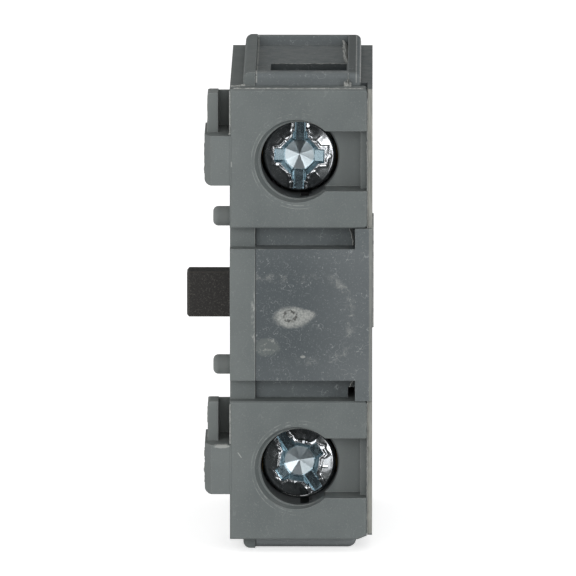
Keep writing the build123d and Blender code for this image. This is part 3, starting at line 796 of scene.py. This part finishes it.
print("slot", 2 * SLOT_TOP, "mm wide, pit", PIT_DEPTH, "mm deep")

# %% [markdown]
# The head is a set of rings, closer together than its smallest wall, so every bevel is real geometry.
# The last rings go down the rim and across underneath. The shank is a second skin, with its thread as a
# ridge that climbs by one pitch in each turn. The recess and its pit get their own zinc, because the
# plate looks bluer where it was pressed.

# %% Build both screws
RINGS = 124
SPOKES = 440
SHANK_SPOKES = 72
STEPS_PER_PITCH = 10
SHARP_DEGREES = 30
RIM_CHAMFER = 0.1
RIM_BEVEL_HEIGHT = 0.12
OVERLAP = 0.02
TIP_CONE = 0.4
THREAD_STARTS = 0.8
THREAD_GROWS = 0.6
THREAD_ENDS = 0.1
THREAD_FADES = 0.5
RECESS_FROM = 0.05
# Which zinc a face gets
PLAIN, RECESS, PIT_FACE = 0, 1, 2


def thread_radius(height, turn):
    """Radius of the shank at this distance under the head, ridge after ridge."""
    phase = (height / THREAD_PITCH - turn / (2 * math.pi)) % 1.0
    ridge = abs(2 * phase - 1)
    grown = min(1.0, max(0.0, (height - THREAD_STARTS) / THREAD_GROWS))
    grown *= min(1.0, max(0.0, (SHANK_LENGTH - THREAD_ENDS - height) / THREAD_FADES))
    return SHANK_RADIUS - THREAD_HEIGHT * (1 - ridge * grown)


def close_rings(mesh, rings, first, last, kind_of):
    """Faces between rings of points, and a fan at each end."""
    count = len(rings[0])
    for spoke in range(count):
        after = (spoke + 1) % count
        mesh.faces.new((first, rings[0][spoke], rings[0][after])).material_index = kind_of(0, spoke)
        mesh.faces.new((last, rings[-1][after], rings[-1][spoke]))
        for row, (inner, outer) in enumerate(zip(rings, rings[1:]), 1):
            face = mesh.faces.new((inner[spoke], outer[spoke], outer[after], inner[after]))
            face.material_index = kind_of(row, spoke)


def make_screw(end, slot_degrees, seed):
    low, high = corners(end + "_terminal_screw")
    middle_x = (low[0] + high[0]) / 2
    middle_z = (low[2] + high[2]) / 2
    crown_y = low[1]
    slot = math.radians(slot_degrees)
    kinds = {}
    mesh = bmesh.new()

    def circle(count, radius_at, y):
        spots = []
        for spoke in range(count):
            turn = 2 * math.pi * spoke / count
            x, z = radius_at(turn) * math.cos(turn), radius_at(turn) * math.sin(turn)
            spots.append(mesh.verts.new((x * MM, y * MM, z * MM)))
        return spots

    rings = []
    for ring in range(1, RINGS + 1):
        radius = HEAD_RADIUS * ring / RINGS
        spots = []
        for spoke in range(SPOKES):
            turn = 2 * math.pi * spoke / SPOKES
            along, across = radius * math.cos(turn - slot), radius * math.sin(turn - slot)
            deep = recess_depth(along, across) - dome_depth(radius)
            kind = RECESS if deep > RECESS_FROM else PLAIN
            kinds[ring - 1, spoke] = PIT_FACE if radius < PIT_RADIUS else kind
            spot = (radius * math.cos(turn), head_depth(along, across, seed), radius * math.sin(turn))
            spots.append(mesh.verts.new(Vector(spot) * MM))
        rings.append(spots)
    for inset, y in ((0.0, HEAD_HEIGHT - RIM_BEVEL_HEIGHT), (RIM_CHAMFER, HEAD_HEIGHT)):
        rings.append(circle(SPOKES, lambda turn: HEAD_RADIUS - inset, y))
    crown = mesh.verts.new((0, PIT_DEPTH * MM, 0))
    underside = mesh.verts.new((0, HEAD_HEIGHT * MM, 0))
    close_rings(mesh, rings, crown, underside, lambda row, spoke: kinds.get((row, spoke), PLAIN))
    shank = []
    steps = int(SHANK_LENGTH / THREAD_PITCH * STEPS_PER_PITCH)
    for step in range(steps + 1):
        height = SHANK_LENGTH * step / steps
        tip = max(0.0, height - SHANK_LENGTH + TIP_CONE)
        place = HEAD_HEIGHT + height - OVERLAP
        shank.append(circle(SHANK_SPOKES, lambda turn: thread_radius(height, turn) - tip, place))
    top = mesh.verts.new((0, (HEAD_HEIGHT - OVERLAP) * MM, 0))
    tail = mesh.verts.new((0, (HEAD_HEIGHT + SHANK_LENGTH - OVERLAP) * MM, 0))
    close_rings(mesh, shank, top, tail, lambda row, spoke: PLAIN)
    screw = into_piece(end + "_screw_finished", mesh, (zinc, blue_zinc, pit_zinc), True)
    screw.data.set_sharp_from_angle(angle=math.radians(SHARP_DEGREES))
    screw.location = (middle_x * MM, crown_y * MM, middle_z * MM)
    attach(screw, end + "_screw")
    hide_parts(end + "_terminal_screw")
    print(screw.name, "faces", len(screw.data.polygons))


make_screw("upper", slot_degrees=88.4, seed=1.0)
make_screw("lower", slot_degrees=124.0, seed=5.0)

# %% [markdown]
# ## The springs
# Both springs are hidden, but they show when the block is looked into. In the real block they shorten
# as the plunger goes in. Each is a helix of real wire with closed end coils, wound between the same two
# seats as the imported spring.

# %% Wind the springs
AROUND = 10
PER_TURN = 28
CLOSED_TURNS = 0.9
CLOSENESS = 0.9


def wind(name, node, body, wire_radius, turns):
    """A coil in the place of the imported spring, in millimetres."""
    low, high = corners(node)
    radius = (high[2] - low[2]) / 2 - wire_radius
    middle_y = (low[1] + high[1]) / 2
    middle_z = (low[2] + high[2]) / 2
    start, end = low[0] + wire_radius, high[0] - wire_radius
    lead = 2 * wire_radius
    total = int((turns + 2 * CLOSED_TURNS) * PER_TURN)
    mesh = bmesh.new()
    loops = []
    for step in range(total + 1):
        turn = step / PER_TURN
        share = min(max((turn - CLOSED_TURNS) / turns, 0.0), 1.0)
        x = start + lead * min(turn / CLOSED_TURNS, 1.0) * CLOSENESS
        x += (end - start - 2 * CLOSENESS * lead) * share
        x += lead * CLOSENESS * min(max((turn - CLOSED_TURNS - turns) / CLOSED_TURNS, 0.0), 1.0)
        angle = 2 * math.pi * turn
        out = Vector((0, math.cos(angle), math.sin(angle)))
        middle = Vector((x, middle_y, middle_z)) + out * radius
        loop = []
        for side in range(AROUND):
            bend = 2 * math.pi * side / AROUND
            along = Vector((wire_radius * math.sin(bend), 0, 0))
            spot = middle + out * (wire_radius * math.cos(bend)) + along
            loop.append(mesh.verts.new(spot * MM))
        loops.append(loop)
    close_tube(mesh, loops)
    spring = into_piece(name, mesh, (wire,), True)
    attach(spring, body)
    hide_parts(node)
    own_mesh(spring)
    print(name, "length", round(high[0] - low[0], 2), "mm")


wind("return_coil", "return_spring", "housing", 0.15, 4.5)
wind("contact_coil", "contact_spring", "plunger", 0.13, 2.6)

# %% [markdown]
# ## Flash and burrs
# Where two mould halves or two shells meet, thin ragged flash is left, and it turns pale where it bends.
# It is too thin and uneven for the exact model. Here a ribbon runs along an edge and each of its points
# stands up by a different amount, so it is a real, broken skin of plastic.

# %% Pale torn plastic
def torn_plastic():
    skin = Surface("torn_plastic")
    fine = skin.grain(7.0, 4.0, 0.7)
    skin.tone = skin.blend(fine.rise(0.3, 0.7), (0.22, 0.23, 0.22), (0.44, 0.45, 0.43))
    return skin.finish(fine * 0.2 + 0.5, fine, 0.02)


torn = torn_plastic()
SKIN = 0.003
POINT_EVERY = 0.16
ROOT = 0.05
CREST = 0.3


def kept_inside(spot):
    """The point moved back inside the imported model's box where it stands out of it."""
    x = min(spot.x, cover_high[0] - SKIN)
    y = max(spot.y, FRONT + SKIN)
    z = min(spot.z, RIM_TOP - SKIN)
    return Vector((x, y, z))


def ribbon(name, start, end, out, tall, thick, seed, gaps=0.0):
    """A ragged strip from start to end that stands up along out by up to tall, all in millimetres."""
    random.seed(seed)
    start, end, out = Vector(start), Vector(end), Vector(out)
    run = end - start
    side = run.normalized().cross(out).normalized() * (thick / 2)
    outward = side.normalized()
    count = max(6, int(run.length / POINT_EVERY))
    mesh = bmesh.new()
    rows = []
    for step in range(count + 1):
        share = step / count
        spot = start + run * share + outward * (min(thick, 0.09) * random.uniform(-0.3, 0.3))
        lift = noise.noise(Vector((share * run.length * 1.3, seed, 0.0))) * 0.5 + 0.5
        height = tall * (0.15 + 0.85 * lift * random.uniform(0.5, 1.0))
        if noise.noise(Vector((share * run.length * 0.7, seed, 4.0))) * 0.5 + 0.5 < gaps:
            height = tall * 0.08
        base = spot - out * (ROOT + tall * 0.1)
        lean = outward * (min(thick, 0.12) * random.uniform(-0.6, 0.6))
        crest = spot + out * height + lean
        section = (base - side, base + side, crest + side * CREST, crest - side * CREST)
        rows.append([mesh.verts.new(kept_inside(place) * MM) for place in section])
    close_tube(mesh, rows)
    strip = into_piece(name, mesh, (torn,), False)
    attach(strip, "housing")


# %% [markdown]
# The photograph shows flash along the top edge of the upper block, down the seam beside both blocks, at
# the right end of the grooves, in the corner of the wire pocket, on the rim and on the hooks.

# %% Lay the flash where the photograph shows it
POCKET = 19.65
SEAM_X = 11.67
SEAM_Y = FRONT + 0.34
GROOVE_Y = FRONT + 1.9
RIM_Y = FRONT + 2.4
RIM_END_Y = FRONT + 24.5
LEFT_Y = FRONT + 0.1
BEVEL_X = -2.1
BEVEL_Y = FRONT + 1.16
FINGER_X = -1.9
FINGER_Y = FRONT + 2.6
FLASH = (
    # name, start, end, out, tall, thick, gaps
    ("block_top", (0.3, FRONT + 0.3, TOP), (11.3, FRONT + 0.3, TOP), (0, -0.5, 1), 0.13, 0.12, 0.2),
    ("tray_corner", (0.1, FRONT + 1.5, TOP), (1.3, FRONT + 2.2, TOP), (0, -0.3, 1), 0.22, 0.12, 0.1),
    ("seam_upper", (SEAM_X, SEAM_Y, 19.0), (SEAM_X, SEAM_Y, 7.44), (0.1, -1, 0), 0.36, 0.08, 0.15),
    ("seam_lower", (SEAM_X, SEAM_Y, -7.44), (SEAM_X, SEAM_Y, -18.9), (0.1, -1, 0), 0.36, 0.08, 0.15),
    ("groove_upper", (10.25, GROOVE_Y, 7.35), (10.5, GROOVE_Y, 5.75), (-0.2, -1, 0), 0.6, 0.16, 0.0),
    ("groove_lower", (10.55, GROOVE_Y, -5.8), (10.25, GROOVE_Y, -6.5), (-0.3, -1, 0), 0.6, 0.16, 0.0),
    ("pocket", (9.95, FRONT + 13.7, POCKET), (9.8, RIM_END_Y, POCKET), (-0.6, 0, 1), 0.8, 0.3, 0.25),
    ("entry", (3.6, FRONT + 13.4, POCKET), (9.8, FRONT + 13.4, POCKET), (0, -1, 0.25), 0.24, 0.06, 0.45),
    ("rim_line", (10.05, FRONT + 2.28, 20.4), (10.05, FRONT + 2.28, 19.8), (0, -1, 0), 0.07, 0.05, 0.1),
    ("rim_nub", (9.68, FRONT + 2.1, 19.5), (10.3, FRONT + 2.1, 19.44), (0, -0.5, 0.85), 0.5, 0.6, 0.0),
    ("rim_right", (10.72, RIM_Y, 20.45), (10.72, RIM_END_Y, 20.45), (0, 0, 1), 0.07, 0.09, 0.2),
    ("rim_side", (11.07, RIM_Y, 20.05), (11.07, RIM_END_Y, 20.05), (1, 0, 0.3), 0.08, 0.08, 0.2),
    ("left_upper", (0.0, LEFT_Y, 19.2), (0.0, LEFT_Y, 15.5), (-1, -0.3, 0), 0.07, 0.05, 0.3),
    ("left_lower", (0.0, LEFT_Y, -7.7), (0.0, LEFT_Y, -11.1), (-1, -0.3, 0), 0.07, 0.05, 0.3),
    ("curl_upper", (0.0, FRONT + 0.2, 15.4), (0.05, FRONT + 0.2, 16.1), (-0.4, -1, 0), 0.26, 0.08, 0.0),
    ("hook_edge_upper", (BEVEL_X, BEVEL_Y, 12.0), (BEVEL_X, BEVEL_Y, 14.6), (-1, -0.2, 0), 0.17, 0.14, 0.1),
    ("hook_edge_lower", (BEVEL_X, BEVEL_Y, -14.6), (BEVEL_X, BEVEL_Y, -11.6), (-1, -0.2, 0), 0.19, 0.14, 0.1),
    ("finger_upper", (FINGER_X, FINGER_Y, 15.6), (FINGER_X, FINGER_Y, 18.2), (-1, 0, 0), 0.07, 0.1, 0.35),
    ("finger_lower", (FINGER_X, FINGER_Y, -10.9), (FINGER_X, FINGER_Y, -8.3), (-1, 0, 0), 0.12, 0.14, 0.35),
    ("foot_ledge", (-1.3, FRONT + 0.15, -11.2), (-0.2, FRONT + 0.15, -11.2), (0, -0.6, 1), 0.12, 0.08, 0.2),
    ("rim_peak", (9.93, FRONT + 2.1, 19.5), (10.13, FRONT + 2.1, 19.5), (0, -0.5, 0.85), 1.25, 0.5, 0.0),
)
for seed, (where, start, end, out, tall, thick, gaps) in enumerate(FLASH, 1):
    ribbon("flash_" + where, start, end, out, tall, thick, seed, gaps)
print("flash laid:", len(FLASH))

# %% [markdown]
# ## Floor, light and camera
# The photograph is a product shot on pure white. The floor is a wide pale sheet that keeps a soft
# shadow. The world lights the block evenly, a lamp from the front lifts the front faces, and a lamp at
# each side lights the screws.

# %% Floor and world
FLOOR_Z = cad_box[0][2]
FLOOR_SIZE = 6.0
FLOOR_GLOW = 0.6


def white_share(tree):
    """1 for rays from the camera, and for those that mirrors and glass send on."""
    path = tree.nodes.new("ShaderNodeLightPath")
    total = Field(tree, path.outputs["Is Camera Ray"])
    total = total.most(Field(tree, path.outputs["Is Glossy Ray"]))
    return total.most(Field(tree, path.outputs["Is Transmission Ray"]))


def pale_floor():
    floor = Surface("pale_floor")
    floor.set("Emission Color", (1, 1, 1, 1))
    speck = floor.grain(0.02, 2.0)
    floor.tone = floor.blend(speck.rise(0.2, 0.8), (0.90, 0.90, 0.90), (0.93, 0.93, 0.93))
    glow = white_share(floor.tree) * FLOOR_GLOW
    floor.tree.links.new(glow.socket, floor.shader.inputs["Emission Strength"])
    return floor.finish(speck * 0.1 + 0.7)


bpy.ops.mesh.primitive_plane_add(size=FLOOR_SIZE, location=(0, 0, FLOOR_Z))
floor = bpy.context.object
floor.name = "floor"
floor.data.materials.append(pale_floor())

AMBIENT = 0.55
world = bpy.data.worlds.new("white_room")
bpy.context.scene.world = world
world.use_nodes = True
sky = world.node_tree.nodes["Background"]
sky.inputs["Color"].default_value = (1, 1, 1, 1)
level = white_share(world.node_tree) * (1 - AMBIENT) + AMBIENT
world.node_tree.links.new(level.socket, sky.inputs["Strength"])
print("floor at", round(FLOOR_Z / MM, 2), "mm")

# %% [markdown]
# Most of the light is low and from the front, so the front faces are brighter than the tops, as in the
# photograph. A tall lamp at the right gives the pale right edges and the bright patch on each screw.
# Metal shows only what it mirrors. The photographer's side of the room was dark, so dark cards stand
# there, hang above and lie in front. Only mirror rays see them, so they take no light from the plastic.

# %% Lamps
MIDDLE = Vector((5.0 * MM, 0, 0))
LAMPS = (
    # name, place and size in metres, watts, whether metal mirrors it
    ("front_lamp", (-0.1, -1.3, 0.3), (0.8, 0.5), 4.3, False),
    ("right_lamp", (0.72, -0.77, 0.18), (0.34, 0.75), 3.0, True),
    ("left_lamp", (-0.52, -0.86, 0.18), (0.30, 0.6), 1.6, True),
)


def aim(thing, target):
    thing.rotation_mode = "QUATERNION"
    thing.rotation_quaternion = (target - thing.location).to_track_quat("-Z", "Y")


def soft_lamp(name, place, size, power, mirrored):
    data = bpy.data.lights.new(name, "AREA")
    data.shape = "RECTANGLE"
    data.size, data.size_y = size
    data.energy = power
    lamp = placed(name, data)
    lamp.location = place
    lamp.visible_glossy = mirrored
    aim(lamp, MIDDLE)
    print(name, power, "W")


for lamp_values in LAMPS:
    soft_lamp(*lamp_values)

# %% [markdown]
# A flat part of a screw mirrors the photographer's side, which was dark. Its sloping parts mirror the
# two side lamps. The cards are placed by that: straight ahead, at the left, steeply above, behind the
# block, and one on the floor in front that widens towards the camera.

# %% Dark cards for the metal to mirror
def card_paint():
    paint = Surface("card_paint")
    dull = paint.grain(0.05)
    paint.tone = paint.blend(dull, (0.010, 0.010, 0.012), (0.016, 0.016, 0.019))
    return paint.finish(dull * 0.1 + 0.8)


card_finish = card_paint()


def dark_card(name, shape, place=(0, 0, 0), faces_block=False):
    """A flat card with these corners, level, or turned to face the block. Places are in metres."""
    data = bpy.data.meshes.new(name)
    data.from_pydata([(x, y, 0) for x, y in shape], [], [range(len(shape))])
    card = placed(name, data)
    card.location = place
    if faces_block:
        aim(card, MIDDLE)
    data.materials.append(card_finish)
    card.visible_camera = card.visible_diffuse = card.visible_shadow = False
    print(name, "with", len(shape), "corners")


def sheet(width, height):
    return [(x * width / 2, y * height / 2) for x, y in ((-1, -1), (1, -1), (1, 1), (-1, 1))]


dark_card("card_behind_camera", sheet(1.0, 1.0), (0.085, -1.4, 0.25), True)
dark_card("card_left", sheet(0.15, 0.24), (-0.143, -0.10, 0.06), True)
dark_card("card_above", sheet(0.26, 0.16), (-0.01, -0.085, 0.14))
dark_card("card_behind_block", sheet(2.2, 1.6), (0.0, 1.4, 0.35), True)
WEDGE = [(-0.006, -0.018), (0.018, -0.018), (0.37, -1.3), (-0.36, -1.3)]
ABOVE_FLOOR = 0.0005
dark_card("card_in_front", WEDGE, (0, 0, FLOOR_Z + ABOVE_FLOOR))

# %% [markdown]
# The camera stands 1.1 m away and looks down by 9 degrees, which the tops of the rims and the screws'
# places in their wells show. Its lens and its aim come from the size of the front face in the picture:
# 11.8 pixels to a millimetre.

# %% Camera
PICTURE = 576
SENSOR = 36.0
DISTANCE = 1100.0
PIXELS_PER_MM = 11.778
DOWN = math.radians(9.08)
ROUND = math.radians(0.4)
FRONT_CENTRE_PIXEL = (300.4, 315.1)
FRONT_CENTRE_X = 6.0
NEAREST = 0.01
FARTHEST = 20.0
front_centre = Vector((FRONT_CENTRE_X, FRONT, 0.0))
right = Vector((math.cos(ROUND), math.sin(ROUND), 0.0))
up = Vector((-math.sin(ROUND) * math.sin(DOWN), math.cos(ROUND) * math.sin(DOWN), math.cos(DOWN)))
back = right.cross(up)
shift_right = (PICTURE / 2 - FRONT_CENTRE_PIXEL[0]) / PIXELS_PER_MM
shift_up = (FRONT_CENTRE_PIXEL[1] - PICTURE / 2) / PIXELS_PER_MM
camera_data = bpy.data.cameras.new("camera")
camera = placed("camera", camera_data)
camera.location = (front_centre + right * shift_right + up * shift_up + back * DISTANCE) * MM
camera.rotation_mode = "QUATERNION"
camera.rotation_quaternion = (-back).to_track_quat("-Z", "Y")
camera_data.sensor_width = SENSOR
camera_data.lens = PIXELS_PER_MM * DISTANCE / PICTURE * SENSOR
camera_data.clip_start = NEAREST
camera_data.clip_end = FARTHEST
bpy.context.scene.camera = camera
bpy.context.scene.view_settings.view_transform = "Standard"
print("lens", round(camera_data.lens, 1), "mm")
